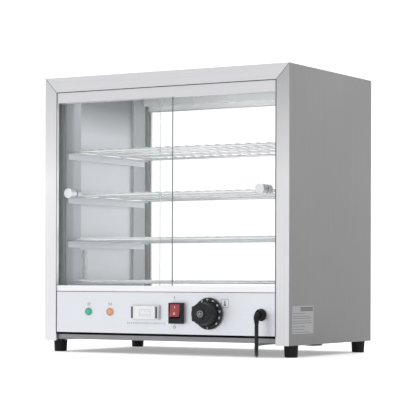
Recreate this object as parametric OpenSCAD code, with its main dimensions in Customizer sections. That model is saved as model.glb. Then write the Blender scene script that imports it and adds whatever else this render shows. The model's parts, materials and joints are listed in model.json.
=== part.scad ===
// Countertop hot food display case: a stainless steel cabinet with two sliding
// glass doors on the front, a fixed glass back, four wire racks, a control panel
// below the doors and four rubber feet. Millimetres, +X to the right as the
// customer faces it, +Y to the back, +Z up. The origin is under the middle of
// the case, on the surface that its feet stand on.

/* [Case] */
// overall width of the case
body_w = 540; // [500:1:700]
// depth of the case from the front frame to the back frame
body_d = 345; // [320:1:450]
// height of the case without its feet
body_h = 512; // [450:1:700]
// height of the rubber feet
foot_h = 22; // [15:1:40]
// thickness of the outer sheet steel
sheet = 1.2; // [0.8:0.1:2]

/* [Front frame] */
// face width of the two front stiles
stile_w = 27; // [20:1:40]
// face height of the front top rail
rail_h = 29; // [20:1:40]
// face height of the fascia that hides the top track
fascia_h = 20.5; // [15:0.5:30]
// height of the top edge of the control panel
panel_top = 95.6; // [80:0.2:140]
// height of the bottom edge of the control panel
panel_bottom = 17; // [10:1:30]
// height of the top edge of the sill below the doors
sill_top = 107.6; // [100:0.2:150]

/* [Doors] */
// thickness of the door glass
glass_t = 4; // [3:0.5:6]
// width of each door
door_w = 272; // [250:1:350]
// how far the two doors overlap when closed
door_lap = 33.4; // [20:0.2:60]
// distance of each door knob from the outside of the case
knob_inset = 61; // [40:1:90]
// height of the door knobs in the case
knob_z = 286; // [200:1:350]
// diameter of the door knobs
knob_d = 18.6; // [14:0.2:30]
// length of the door knobs in front of the glass
knob_len = 19; // [12:0.5:30]
// length of the caps behind the glass
cap_len = 14.6; // [8:0.2:20]

/* [Racks] */
// heights of the four racks' rails in the case
rack_z = [114, 197, 284, 370];
// width of each rack
rack_w = 474; // [440:1:500]
// distance from the front of the case to the racks' front rails
rack_front = 46; // [42:1:60]
// distance from the front of the case to the racks' back rails
rack_back = 304; // [280:1:310]
// diameter of the racks' rails
rail_d = 5; // [4:0.5:8]
// diameter of the racks' cross wires
wire_d = 2.6; // [2:0.1:4]
// number of cross wires on each rack
wire_n = 21; // [15:1:30]

/* [Controls] */
// height of the row of controls in the case
ctrl_z = 56.5; // [50:0.5:70]
// diameter of the thermostat dial's skirt
dial_d = 59.5; // [50:0.5:70]
// how far the thermostat dial stands in front of the panel
dial_len = 33; // [25:0.5:40]
// width and height of the thermometer
gauge = [62, 27.6];
// width and height of the switch's frame
switch_frame = [28, 39];
// tilt of the switch's rocker each way
rocker_tilt = 9; // [5:0.5:12]
// diameter of the cable gland's nut
gland_d = 22.5; // [18:0.5:28]
// diameter of the mains lead
lead_d = 7.2; // [6:0.1:9]

/* [Hidden] */
$fn = 64;
e = 0.01;
hw = body_w / 2;
y0 = -156;                       // where the front face lies, so that the whole case is centred
ow = hw - stile_w;               // half the clear width between the stiles
fascia_b = body_h - rail_h - fascia_h;
liner_x = hw - 22;               // face of the side liners
up_x = hw - 27;                  // face of the rack uprights
jamb_x = hw - 14;                // face that the doors close against
g1 = 8.4;                        // front face of the outer door
g2 = 17.6;                       // front face of the inner door
glass_z0 = panel_top + 2.6;
glass_z1 = fascia_b + 8;
kx = hw - knob_inset;
back_w = 30;                     // face width of the back frame
back_sill = 105;
back_top = 472.5;
deck_z = 97;                     // top of the cabinet's floor
lamp_x = [-167, -117.5];
gauge_x = -35.3;
switch_x = 34.5;
dial_x = 103;
gland_x = 212.5;
gland_z = 55.5;
steel = [0.78, 0.79, 0.80];
bright = [0.86, 0.87, 0.88];
black = [0.07, 0.07, 0.08];
clear = [0.85, 0.93, 0.92, 0.3];

// the mains lead: its route in space, from the strain relief down to the surface,
// under the case and round to the coil behind it, and from the coil to the plug
relief = [[212.5, -166.5, 77.5], [212.6, -170, 77.3], [213.5, -175, 74.9], [215, -178, 71],
  [216.5, -179, 66.8], [216.5, -179, 61.8]];
lead = [[216.5, -179, 61.5], [216.5, -179, 53], [216.5, -179, 45], [216.2, -178.5, 36],
  [214.8, -176, 24.5], [211.2, -169.6, 13.6], [205.5, -159.2, 6.6], [198, -145.6, 3.9],
  [190, -131, 3.6], [180, -113, 3.6], [168, -91.5, 3.6], [134, -30, 3.6], [100, 31, 3.6],
  [66.5, 92, 3.6], [32.5, 153.5, 3.6], [-1.5, 215, 3.6], [-35, 276, 3.6], [-54, 312, 3.6],
  [-67, 345, 3.6], [-75.5, 379, 3.6], [-80.2, 415, 3.6], [-81.5, 437, 3.6], [-81.5, 455.5, 3.6]];
tail = [[-36.5, 500.5, 10.8], [-24, 500.3, 10.6], [-11, 498.6, 10.2], [1.5, 494.6, 9.8],
  [12, 488.4, 9.6], [20.5, 479.5, 9.8], [25.5, 468, 10], [27, 456, 10]];
coil_at = [-36.5, 455.5];
coil_r = 45;                     // radius of the coil's outer turns, at the lead's middle
plug_at = [27, 455.6, 10];

module case() { translate([0, y0, foot_h]) children(); }
// a box from its two corners
module bx(a, b) { translate(a) cube(b - a); }
// a cylinder lying along Y, from the front (ya) to the back (yb)
module cy(d, x, z, ya, yb, d2 = -1) {
  translate([x, ya, z]) rotate([-90, 0, 0]) cylinder(d1 = d, d2 = d2 < 0 ? d : d2, h = yb - ya);
}
// an outline in X and Z, extruded from ya to yb
module plate_y(pts, ya, yb) {
  translate([0, yb, 0]) rotate([90, 0, 0]) linear_extrude(yb - ya) polygon(pts);
}
// an outline in Y and Z, extruded along X
module bar_x(pts, xa, xb) {
  translate([xa, 0, 0]) rotate([90, 0, 90]) linear_extrude(xb - xa) polygon(pts);
}

// ---- outer shell ----
module side_panel(s) {
  color(steel) case() mirror([s < 0 ? 1 : 0, 0, 0]) difference() {
    union() {
      bx([hw - sheet, sheet, 0], [hw, body_d - sheet, body_h]);
      bx([hw - 14, 20, 0], [hw - sheet + e, body_d - 20, sheet]);
      bx([hw - 14, 20, body_h - 2 * sheet], [hw - sheet + e, body_d - 20, body_h - sheet]);
    }
    if (s > 0) bx([hw - 0.3, 14, 21], [hw + 1, 98, 72]);
    for (y = [35, body_d - 30]) translate([hw - 13.5, y, -1]) cylinder(d = 4.4, h = 4);
  }
}
module side_panel_left() { side_panel(-1); }
module side_panel_right() { side_panel(1); }

module top_panel() {
  color(steel) case() {
    bx([-hw + sheet, sheet, body_h - sheet], [hw - sheet, body_d - sheet, body_h]);
  }
}

module front_top_rail() {
  color(steel) case() union() {
    plate_y([[-hw, body_h], [hw, body_h], [ow, body_h - rail_h], [-ow, body_h - rail_h]], 0, sheet);
    bx([-ow, sheet - e, body_h - rail_h], [ow, 8, body_h - rail_h + sheet]);
  }
}
module front_stile(s) {
  color(steel) case() mirror([s < 0 ? 1 : 0, 0, 0]) union() {
    plate_y([[hw, 0], [hw, body_h], [ow, body_h - rail_h], [ow, 0]], 0, sheet);
    bx([ow, sheet - e, 2], [ow + sheet, 4.8, body_h - rail_h]);
    bx([ow, 4.8 - e, sill_top + 0.4], [ow + sheet, 8, fascia_b - 0.4]);
    bx([hw - 2 * sheet, sheet - e, 14], [hw - sheet, 14, body_h - 14]);
  }
}
module front_stile_left() { front_stile(-1); }
module front_stile_right() { front_stile(1); }

// ---- back frame ----
module rear_top_rail() {
  color(steel) case() union() {
    plate_y([[-hw, body_h], [hw, body_h], [hw - back_w, back_top], [-hw + back_w, back_top]],
            body_d - sheet, body_d);
    bx([-hw + back_w, body_d - 5, back_top], [hw - back_w, body_d - sheet + e, back_top + sheet]);
  }
}
module rear_stile(s) {
  color(steel) case() mirror([s < 0 ? 1 : 0, 0, 0]) union() {
    plate_y([[hw, 0], [hw, body_h], [hw - back_w, back_top], [hw - back_w, 0]],
            body_d - sheet, body_d);
    bx([hw - back_w, body_d - 5, back_sill], [hw - back_w + sheet, body_d - sheet + e, back_top]);
  }
}
module rear_stile_left() { rear_stile(-1); }
module rear_stile_right() { rear_stile(1); }
module rear_lower_panel() {
  color(steel) case() difference() {
    union() {
      bx([-hw + back_w, body_d - sheet, 0], [hw - back_w, body_d, back_sill]);
      bx([-hw + back_w, body_d - 5, back_sill - sheet], [hw - back_w, body_d - sheet + e, back_sill]);
    }
    for (k = [-1, 1]) for (i = [0:6])
      bx([k * 120 - 40, body_d - 3, 34 + i * 8], [k * 120 + 40, body_d + 1, 37 + i * 8]);
  }
}

// ---- front fascia, sill and door tracks ----
module front_fascia() {
  color(steel) case() bar_x([[1.5, fascia_b], [5, fascia_b], [5, fascia_b + sheet],
    [1.5 + sheet, fascia_b + sheet], [1.5 + sheet, body_h - rail_h], [1.5, body_h - rail_h]],
    -ow, ow);
}
module front_sill() {
  color(steel) case() bar_x([[1.5, panel_top + 0.7], [1.5 + sheet, panel_top + 0.7],
    [1.5 + sheet, sill_top - sheet], [5, sill_top - sheet], [5, sill_top], [1.5, sill_top]],
    -ow, ow);
}
// an E-shaped track: three webs and a base plate
function track(y, za, zb, t) = [[y, za], [y + 20, za], [y + 20, zb], [y + 18.4, zb],
  [y + 18.4, za + t], [y + 10.8, za + t], [y + 10.8, zb], [y + 9.2, zb],
  [y + 9.2, za + t], [y + 1.6, za + t], [y + 1.6, zb], [y, zb]];
module front_top_track() {
  color(steel) case() bar_x(track(5, body_h - rail_h - 0.6, fascia_b, -1.6), -jamb_x, jamb_x);
}
module front_bottom_track() {
  color(steel) case() bar_x(track(5, panel_top + 0.7, sill_top, 1.6), -jamb_x, jamb_x);
}
module rear_top_channel() {
  color(bright) case() bar_x([[315, 483.5], [315, 499.5], [341, 499.5], [341, 474],
    [339.4, 474], [339.4, 497.9], [334.6, 497.9], [334.6, 474], [333, 474], [333, 483.5]],
    -up_x, up_x);
}
module rear_bottom_channel() {
  color(steel) case() bar_x([[328, 92], [341, 92], [341, back_sill - 1.4], [339.4, back_sill - 1.4],
    [339.4, 93.6], [334.6, 93.6], [334.6, back_sill - 1.4], [328, back_sill - 1.4]],
    -jamb_x, jamb_x);
}
module rear_glass() {
  color(clear) case() bx([-up_x + 1, 335, 94], [up_x - 1, 339, 489]);
}

// ---- lower part ----
module control_panel() {
  color(steel) case() difference() {
    union() {
      bx([-ow + 0.4, 1, panel_bottom], [ow - 0.4, 1 + sheet, panel_top]);
      bx([-ow + 0.4, 1 + sheet - e, panel_bottom], [ow - 0.4, 12, panel_bottom + sheet]);
      bx([-ow + 0.4, 1 + sheet - e, panel_top - sheet], [ow - 0.4, 12, panel_top]);
    }
    for (x = lamp_x) cy(10, x, ctrl_z + 0.6, -1, 5);
    bx([gauge_x - 27, -1, ctrl_z - 10], [gauge_x + 27, 5, ctrl_z + 12]);
    bx([switch_x - 11.8, -1, ctrl_z - 13.2], [switch_x + 11.8, 5, ctrl_z + 18.6]);
    cy(10, dial_x, ctrl_z, -1, 5);
    cy(16, gland_x, gland_z, -1, 5);
  }
}
module base_pan() {
  color([0.6, 0.61, 0.62]) case() difference() {
    union() {
      bx([-hw + 2 * sheet + 0.2, 7, 3.5], [hw - 2 * sheet - 0.2, body_d - 6, 3.5 + sheet]);
      bx([-ow + 0.4, 7, 3.5 + sheet - e], [ow - 0.4, 7 + sheet, 12.5]);
      bx([-hw + back_w, body_d - 6 - sheet, 3.5 + sheet - e], [hw - back_w, body_d - 6, 24]);
    }
    for (x = [-1, 1], y = [35, body_d - 30]) translate([x * (hw - 13.5), y, 0]) cylinder(d = 4.4, h = 10);
    for (x = [-3:3], y = [0:2]) translate([x * 50, 150 + y * 50, 0]) cylinder(d = 8, h = 10);
  }
}
module control_partition() {
  color(steel) case() union() {
    bx([-hw + 4, 78, 4.7], [hw - 4, 79.2, 90]);
    bx([-hw + 4, 79.2 - e, 4.7], [hw - 4, 90, 5.9]);
  }
}
module floor_plate() {
  color(steel) case() difference() {
    union() {
      bx([-liner_x - 1, 29, deck_z - sheet], [liner_x + 1, 326, deck_z]);
      bx([-liner_x - 1, 29, deck_z - 12], [liner_x + 1, 29 + sheet, deck_z - sheet + e]);
    }
    translate([-liner_x + 3.6, 104, deck_z - 3]) cylinder(d = 3.4, h = 4, $fn = 32);
    for (i = [-4:4]) for (y = [100, 170, 240])
      bx([i * 48 - 15, y, deck_z - 5], [i * 48 + 15, y + 6, deck_z + 1]);
  }
}

// ---- inside of the cabinet ----
module side_liner(s) {
  color(steel) case() mirror([s < 0 ? 1 : 0, 0, 0]) union() {
    bx([liner_x, 30, deck_z], [liner_x + 1, 322, 499]);
    // returns at the front and the back, and the jambs that the glass closes against
    bx([liner_x + 1 - e, 30, deck_z], [jamb_x + 1, 31, 499]);
    bx([jamb_x, 9, deck_z + 12], [jamb_x + 1, 30 + e, fascia_b - 1]);
    bx([liner_x + 1 - e, 321, deck_z], [jamb_x + 1, 322, 499]);
    bx([jamb_x, 322 - e, 108], [jamb_x + 1, 341, 470]);
  }
}
module side_liner_left() { side_liner(-1); }
module side_liner_right() { side_liner(1); }
module ceiling_liner() {
  color(steel) case() union() {
    bx([-jamb_x - 1, 26, 499.5], [jamb_x + 1, 341, 500.5]);
    bx([-jamb_x - 1, 26, fascia_b + 3], [jamb_x + 1, 27, 499.5 + e]);
  }
}
// pressed uprights: a hat section at the front and at the back of each wall
module upright(s, ya, yb, lip) {
  mirror([s < 0 ? 1 : 0, 0, 0]) translate([0, 0, deck_z])
    linear_extrude(399) polygon([[liner_x, ya], [up_x, ya], [up_x, yb], [liner_x, yb],
      [liner_x, yb - sheet], [up_x + sheet, yb - sheet], [up_x + sheet, ya + sheet], [liner_x, ya + sheet]]);
}
module uprights_left() {
  color(steel) case() { upright(-1, 34, 84, 1); upright(-1, 277, 321, 1); }
}
module uprights_right() {
  color(steel) case() { upright(1, 34, 84, 1); upright(1, 277, 321, 1); }
}
// an angle between the two uprights under each rack
module runners(s) {
  color(steel) case() mirror([s < 0 ? 1 : 0, 0, 0]) for (z = rack_z)
    translate([0, 0, z - rail_d / 2 - 0.2]) union() {
      bx([up_x - 1.5, 40, -12], [up_x, 316, 0]);
      bx([up_x - 11, 40, -1.5], [up_x - 1.5 + e, 316, 0]);
    }
}
module runners_left() { runners(-1); }
module runners_right() { runners(1); }

// ---- wire racks ----
module wx(d, y, z, xa, xb) { translate([xa, y, z]) rotate([0, 90, 0]) cylinder(d = d, h = xb - xa, $fn = 32); }
module wy(d, x, z, ya, yb) { translate([x, ya, z]) rotate([-90, 0, 0]) cylinder(d = d, h = yb - ya, $fn = 32); }
module corner(x, y, a) {
  translate([x, y, 0]) rotate([0, 0, a]) rotate_extrude(angle = 90) translate([9, 0]) circle(d = rail_d, $fn = 32);
}
module rack(i) {
  r = 9;
  xa = rack_w / 2 - rail_d / 2;
  zt = rail_d / 2 + wire_d / 2 - 0.7;
  color(bright) case() translate([0, 0, rack_z[i]]) union() {
    for (s = [-1, 1]) wy(rail_d, s * xa, 0, rack_front + rail_d / 2 + r, rack_back - rail_d / 2 - r);
    for (y = [rack_front + rail_d / 2, rack_back - rail_d / 2]) wx(rail_d, y, 0, -xa + r, xa - r);
    corner(xa - r, rack_back - rail_d / 2 - r, 0);
    corner(-xa + r, rack_back - rail_d / 2 - r, 90);
    corner(-xa + r, rack_front + rail_d / 2 + r, 180);
    corner(xa - r, rack_front + rail_d / 2 + r, 270);
    for (y = [rack_front + 88, rack_back - 88]) wx(4, y, 0, -xa, xa);
    for (k = [0:wire_n - 1])
      wy(wire_d, (k - (wire_n - 1) / 2) * (rack_w - 32) / (wire_n - 1), zt, rack_front + 1, rack_back - 1);
  }
}
module rack_1() { rack(0); }
module rack_2() { rack(1); }
module rack_3() { rack(2); }
module rack_4() { rack(3); }

// ---- sliding doors ----
// s is -1 for the left door in the outer track, 1 for the right door in the inner track
module door(s) {
  y = s < 0 ? g1 : g2;
  xin = door_lap / 2;
  color(clear) case() difference() {
    bx([s < 0 ? xin - door_w : -xin, y, glass_z0], [s < 0 ? xin : door_w - xin, y + glass_t, glass_z1]);
    cy(8, s * kx, knob_z, y - 1, y + glass_t + 1);
  }
}
module door_left() { door(-1); }
module door_right() { door(1); }
module knob(s) {
  y = s < 0 ? g1 : g2;
  color(bright) case() translate([s * kx, y, knob_z]) rotate([90, 0, 0]) rotate_extrude()
    polygon([[0, -10], [2, -10], [2, 0], [knob_d / 2 - 0.6, 0], [knob_d / 2, 0.6],
      [knob_d / 2, knob_len - 1.2], [knob_d / 2 - 1.2, knob_len], [0, knob_len]]);
}
module knob_left() { knob(-1); }
module knob_right() { knob(1); }
module cap(s) {
  y = (s < 0 ? g1 : g2) + glass_t;
  color(bright) case() translate([s * kx, y, knob_z]) rotate([-90, 0, 0]) rotate_extrude()
    polygon([[2.05, 0], [8.2, 0], [8.2, 1.6], [9, 2], [9, cap_len - 1], [8, cap_len], [0, cap_len],
      [0, 8], [2.05, 8]]);
}
module cap_left() { cap(-1); }
module cap_right() { cap(1); }

// ---- heating ----
hz = 56;
module heating_element() {
  color([0.32, 0.3, 0.29]) case() union() {
    for (y = [130, 190, 250, 310]) wx(8, y, hz, -200, 200);
    for (y = [160, 280]) translate([200, y, hz]) rotate([0, 0, -90]) rotate_extrude(angle = 180) translate([30, 0]) circle(d = 8, $fn = 32);
    translate([-200, 220, hz]) rotate([0, 0, 90]) rotate_extrude(angle = 180) translate([30, 0]) circle(d = 8, $fn = 32);
    for (y = [130, 310]) {
      wx(13, y, hz, -214, -200 + e);
      wx(5, y, hz, -226, -214 + e);
    }
  }
}
module element_brackets() {
  color(steel) case() for (x = [-130, 130]) difference() {
    union() {
      bx([x - 8, 112, 4.7], [x + 8, 328, 6.2]);
      bx([x - 0.8, 112, 6.2 - e], [x + 0.8, 328, 66]);
    }
    for (y = [130, 190, 250, 310]) wx(8.6, y, hz, x - 3, x + 3);
  }
}
module thermostat_body() {
  color([0.75, 0.72, 0.65]) case() difference() {
    union() {
      bx([dial_x - 19, 6, ctrl_z - 18], [dial_x + 19, 34, ctrl_z + 18]);
      cy(9.6, dial_x, ctrl_z, 0, 6 + e);
      bx([dial_x - 13, 34 - e, ctrl_z - 3], [dial_x - 10, 42, ctrl_z + 3]);
      bx([dial_x + 10, 34 - e, ctrl_z - 3], [dial_x + 13, 42, ctrl_z + 3]);
      cy(13, dial_x, ctrl_z, 2.2, 6 + e);
    }
    cy(6.1, dial_x, ctrl_z, -1, 26);
  }
}
// the dial: a round skirt with a tapered grip, on the thermostat's own shaft
module thermostat_dial() {
  color(black) case() translate([dial_x, 0, ctrl_z]) rotate([90, 0, 0]) union() {
    rotate_extrude($fn = 96) polygon([[0, -24], [3, -24], [3, 1.2], [dial_d / 2 - 0.8, 1.2],
      [dial_d / 2, 2], [dial_d / 2, 3.4], [dial_d / 2 - 1.6, 5], [23.6, 5.6], [22.8, 7],
      [20.6, dial_len - 2.6], [18.4, dial_len - 0.4], [11.2, dial_len - 0.4], [10.9, dial_len - 1], [10.6, dial_len - 1],
      [10.2, dial_len], [0, dial_len]]);
    translate([-22.4, -14.6, 5]) cube([16, 29.2, dial_len - 8]);
  }
}
// the thermostat's sensing bulb and its capillary, on the left wall
module sensor_bulb() {
  color([0.72, 0.6, 0.45]) case() union() {
    translate([-liner_x + 3.6, 104, 122]) cylinder(d = 6.5, h = 56, $fn = 32);
    translate([-liner_x + 3.6, 104, 80]) cylinder(d = 2, h = 42 + e, $fn = 24);
  }
}
module sensor_clips() {
  color(steel) case() for (z = [132, 162]) translate([0, 0, z]) difference() {
    bx([-liner_x, 94, 0], [-liner_x + 7.6, 114, 7]);
    translate([-liner_x + 3.6, 104, -1]) cylinder(d = 6.6, h = 9, $fn = 32);
    bx([-liner_x + 1.2, 93, -1], [-liner_x + 8, 99.4, 8]);
    bx([-liner_x + 1.2, 108.6, -1], [-liner_x + 8, 115, 8]);
  }
}

// ---- control panel fittings ----
module thermometer_case() {
  color([0.25, 0.26, 0.27]) case() translate([gauge_x, 0, ctrl_z + 0.9]) difference() {
    union() {
      bx([-gauge[0] / 2, -8, -gauge[1] / 2], [gauge[0] / 2, 1, gauge[1] / 2]);
      bx([-26, 1 - e, -10], [26, 22, 10]);
    }
    bx([-gauge[0] / 2 + 1.6, -9, -gauge[1] / 2 + 1.6], [gauge[0] / 2 - 1.6, -3, gauge[1] / 2 - 1.6]);
  }
}
module thermometer_scale() {
  color([0.93, 0.93, 0.9]) case() translate([gauge_x, 0, ctrl_z + 0.9]) union() {
    bx([-gauge[0] / 2 + 1.8, -3.8, -gauge[1] / 2 + 1.8], [gauge[0] / 2 - 1.8, -3, gauge[1] / 2 - 1.8]);
    bx([-4, -4.4, -8], [-3.2, -3.8 + e, 5]);
  }
}
module thermometer_lens() {
  color([0.9, 0.95, 0.95, 0.35]) case() translate([gauge_x, 0, ctrl_z + 0.9])
    bx([-gauge[0] / 2 + 1.7, -7.4, -gauge[1] / 2 + 1.7], [gauge[0] / 2 - 1.7, -6, gauge[1] / 2 - 1.7]);
}
sz = ctrl_z + 3.9;   // height of the rocker's pivot
module switch_housing() {
  color(black) case() difference() {
    union() {
      bx([switch_x - switch_frame[0] / 2, -9.6, ctrl_z - switch_frame[1] / 2],
         [switch_x + switch_frame[0] / 2, 1, ctrl_z + switch_frame[1] / 2]);
      bx([switch_x - 11.6, 1 - e, ctrl_z - 12.8], [switch_x + 11.6, 26, ctrl_z + 18.3]);
    }
    bx([switch_x - 10.9, -11, sz - 13.5], [switch_x + 10.9, 6, sz + 13.5]);
  }
  color(steel) case() translate([switch_x, -2, sz]) rotate([0, 90, 0]) cylinder(d = 2.6, h = 22, center = true, $fn = 32);
}
module switch_rocker() {
  color([0.75, 0.05, 0.05]) case() translate([switch_x, -2, sz]) rotate([-rocker_tilt, 0, 0])
    difference() {
      bar_x([[-9.4, -11.9], [-8.2, 0], [-9.4, 11.9], [2, 11.4], [5.6, 5], [5.6, -5], [2, -11.4]], -10.5, 10.5);
      rotate([0, 90, 0]) cylinder(d = 3, h = 30, center = true, $fn = 48);
    }
}
module lamp(i) {
  case() translate([lamp_x[i], 1, ctrl_z + 0.8]) rotate([90, 0, 0]) rotate_extrude()
    polygon([[0, -18], [4.8, -18], [4.8, 0], [7.4, 0], [7.4, 1.2], [6.6, 2.2], [6.3, 2.4], [5.6, 4.4], [3.4, 5.4], [0, 5.8]]);
}
module lamp_green() { color([0.05, 0.62, 0.4]) lamp(0); }
module lamp_amber() { color([0.9, 0.5, 0.25]) lamp(1); }
module terminal_block() {
  color([0.92, 0.92, 0.9]) case() difference() {
    bx([180, 56, 4.7], [216, 72, 22]);
    for (x = [186, 198, 210]) translate([x, 64, 12]) cylinder(d = 4, h = 12, $fn = 32);
  }
}
module cable_gland() {
  color(black) case() translate([gland_x, 1, gland_z]) rotate([90, 0, 0]) difference() {
    rotate_extrude() polygon([[0, -14], [7.4, -14], [7.4, 0], [gland_d / 2 - 0.5, 0],
      [gland_d / 2, 0.5], [gland_d / 2, 4.4], [gland_d / 2 - 0.8, 5.4], [9.4, 8.4], [7.8, 10.4], [6.8, 11], [0, 11]]);
    for (a = [0:30:330]) rotate([0, 0, a]) translate([gland_d / 2 + 0.9, 0, 0.8]) cylinder(d = 3, h = 12, $fn = 24);
  }
}
module feet() {
  color(black) translate([0, y0, 0]) for (x = [-1, 1], y = [35, body_d - 30])
    translate([x * (hw - 13.5), y, 0]) difference() {
      rotate_extrude() polygon([[0, 0], [11.2, 0], [12, 0.8], [13.4, foot_h], [13.4, foot_h + 0], [0, foot_h]]);
      translate([0, 0, -1]) cylinder(d = 9, h = 9);
      cylinder(d = 4.4, h = foot_h + 1);
    }
}
module foot_screws() {
  color(steel) translate([0, y0, 0]) for (x = [-1, 1], y = [35, body_d - 30])
    translate([x * (hw - 13.5), y, 0]) union() {
      translate([0, 0, 5]) cylinder(d = 7.6, h = 3);
      translate([0, 0, 8 - e]) cylinder(d = 4, h = foot_h + 2);
    }
}
module rating_plate() {
  color([0.72, 0.72, 0.72]) case() bx([hw - 0.3, 14, 21], [hw, 98, 72]);
}

// ---- mains lead ----
function unit(v) = v / norm(v);
// a smooth curve through the route's points, n steps to each stretch
function through(p, i, t) = let (a = p[max(i - 1, 0)], b = p[i], c = p[i + 1], d = p[min(i + 2, len(p) - 1)])
  0.5 * (2 * b + (c - a) * t + (2 * a - 5 * b + 4 * c - d) * t * t + (3 * b - a - 3 * c + d) * t * t * t);
function smooth(p, n) = [for (i = [0:len(p) - 2], k = [0:n - 1]) through(p, i, k / n), p[len(p) - 1]];
module tube(p, ra, rb, n = 10) {
  m = len(p);
  side = [0.875, 0.484, 0];
  ring = [for (i = [0:m - 1])
    let (t = unit(p[min(i + 1, m - 1)] - p[max(i - 1, 0)]),
         u = unit(cross(t, abs(t * side) < 0.9 ? side : [0, 0, 1])), v = cross(t, u), r = ra + (rb - ra) * i / (m - 1))
    for (k = [0:n - 1]) p[i] + r * (u * cos(360 * k / n) + v * sin(360 * k / n))];
  faces = concat(
    [[for (k = [0:n - 1]) k]],
    [for (i = [0:m - 2], k = [0:n - 1]) let (a = i * n + k, b = i * n + (k + 1) % n) [a, a + n, b + n]],
    [for (i = [0:m - 2], k = [0:n - 1]) let (a = i * n + k, b = i * n + (k + 1) % n) [a, b + n, b]],
    [[for (k = [n - 1:-1:0]) (m - 1) * n + k]]);
  polyhedron(ring, faces);
}
module strain_relief() { color(black) tube(smooth(relief, 3), 5.4, 4.1, 12); }
module cord_lead() {
  color(black) {
    tube(smooth(lead, 2), lead_d / 2, lead_d / 2);
    tube(smooth(tail, 2), lead_d / 2, lead_d / 2);
  }
}
module cord_coil() {
  a = coil_r - lead_d * 1.5;
  b = coil_r + lead_d / 2;
  color(black) translate([coil_at[0], coil_at[1], 0]) rotate_extrude($fn = 96)
    polygon([[a + 2, 0], [b - 2, 0], [b, 2], [b, 2 * lead_d - 2], [b - 2, 2 * lead_d], [a + 2, 2 * lead_d],
      [a, 2 * lead_d - 2], [a, 2]]);
}
module mains_plug() {
  color(black) translate(plug_at) rotate([90, 0, 0]) union() {
    cylinder(d1 = 8.4, d2 = 12, h = 20 + e);
    translate([-13, -10, 20]) cube([26, 20, 34]);
    translate([0, 0, 54 - e]) for (x = [-6.9, 6.9]) translate([x - 0.8, -3.2, 0]) cube([1.6, 6.4, 17]);
    translate([-3.2, -8.2, 54 - e]) cube([6.4, 1.6, 19]);
  }
}

side_panel_left();
side_panel_right();
top_panel();
front_top_rail();
front_stile_left();
front_stile_right();
rear_top_rail();
rear_stile_left();
rear_stile_right();
rear_lower_panel();
front_fascia();
front_sill();
front_top_track();
front_bottom_track();
rear_top_channel();
rear_bottom_channel();
rear_glass();
control_panel();
base_pan();
control_partition();
floor_plate();
side_liner_left();
side_liner_right();
ceiling_liner();
uprights_left();
uprights_right();
runners_left();
runners_right();
rack_1();
rack_2();
rack_3();
rack_4();
door_left();
door_right();
knob_left();
knob_right();
cap_left();
cap_right();
heating_element();
element_brackets();
thermostat_body();
thermostat_dial();
sensor_bulb();
sensor_clips();
thermometer_case();
thermometer_scale();
thermometer_lens();
switch_housing();
switch_rocker();
lamp_green();
lamp_amber();
terminal_block();
cable_gland();
strain_relief();
feet();
foot_screws();
rating_plate();
cord_lead();
cord_coil();
mains_plug();
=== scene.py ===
import bpy, bmesh, json, math
from mathutils import Vector, Matrix


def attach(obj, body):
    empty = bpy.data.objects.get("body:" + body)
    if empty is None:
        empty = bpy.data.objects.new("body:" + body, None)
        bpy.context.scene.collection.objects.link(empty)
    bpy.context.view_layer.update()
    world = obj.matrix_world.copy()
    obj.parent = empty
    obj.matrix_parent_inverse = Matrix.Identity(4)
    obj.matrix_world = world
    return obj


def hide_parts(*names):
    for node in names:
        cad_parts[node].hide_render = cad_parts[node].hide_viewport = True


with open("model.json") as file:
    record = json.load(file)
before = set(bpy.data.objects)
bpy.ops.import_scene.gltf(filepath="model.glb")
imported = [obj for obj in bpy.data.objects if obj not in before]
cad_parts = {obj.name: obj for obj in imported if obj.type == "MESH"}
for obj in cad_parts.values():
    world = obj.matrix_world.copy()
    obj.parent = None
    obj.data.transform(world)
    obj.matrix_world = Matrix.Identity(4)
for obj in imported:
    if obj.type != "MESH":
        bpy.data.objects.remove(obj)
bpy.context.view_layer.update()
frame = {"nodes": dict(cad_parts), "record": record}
scene = bpy.context.scene
MM = 0.001
Y0, Z0 = -156.0, 22.0          # where the case's front face and its lower edge lie, in mm


def P(x, y, z):
    """A point in the case's own measures (y from the front face, z from the lower edge), in metres."""
    return Vector((x * MM, (y + Y0) * MM, (z + Z0) * MM))


# ---------------------------------------------------------------- camera
cam_data = bpy.data.cameras.new("camera")
cam = bpy.data.objects.new("camera", cam_data)
scene.collection.objects.link(cam)
cam_data.lens = 158.96
cam_data.sensor_width = 36
cam_data.sensor_fit = "HORIZONTAL"
cam_data.shift_y = 0.1776
cam_data.clip_start, cam_data.clip_end = 0.1, 60
R = Vector((0.85901072, 0.5119495, 0.00287985)); U = Vector((-2.76407668e-04, -5.16139956e-03, 0.999986642)); F = Vector((-0.51195753, 0.85900004, 0.00429219))
m = Matrix.Identity(4)
for i in range(3):
    m[i][0], m[i][1], m[i][2] = R[i], U[i], -F[i]
m.translation = Vector((1.76213, -2.97242, 0.14334))
cam.matrix_world = m
scene.camera = cam


# ---------------------------------------------------------------- materials
def new_mat(name):
    mt = bpy.data.materials.new(name)
    mt.use_nodes = True
    nt = mt.node_tree
    bs = nt.nodes["Principled BSDF"]
    return mt, nt, bs


def link(nt, a, b):
    nt.links.new(a, b)


def coords(nt, scale):
    tc = nt.nodes.new("ShaderNodeTexCoord")
    mp = nt.nodes.new("ShaderNodeMapping")
    mp.inputs["Scale"].default_value = scale
    link(nt, tc.outputs["Object"], mp.inputs["Vector"])
    return mp.outputs["Vector"]


def noise(nt, scale, detail=3.0, rough=0.5, vec=(1, 1, 1)):
    n = nt.nodes.new("ShaderNodeTexNoise")
    n.inputs["Scale"].default_value = scale
    n.inputs["Detail"].default_value = detail
    n.inputs["Roughness"].default_value = rough
    link(nt, coords(nt, vec), n.inputs["Vector"])
    return n.outputs["Fac"]


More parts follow.
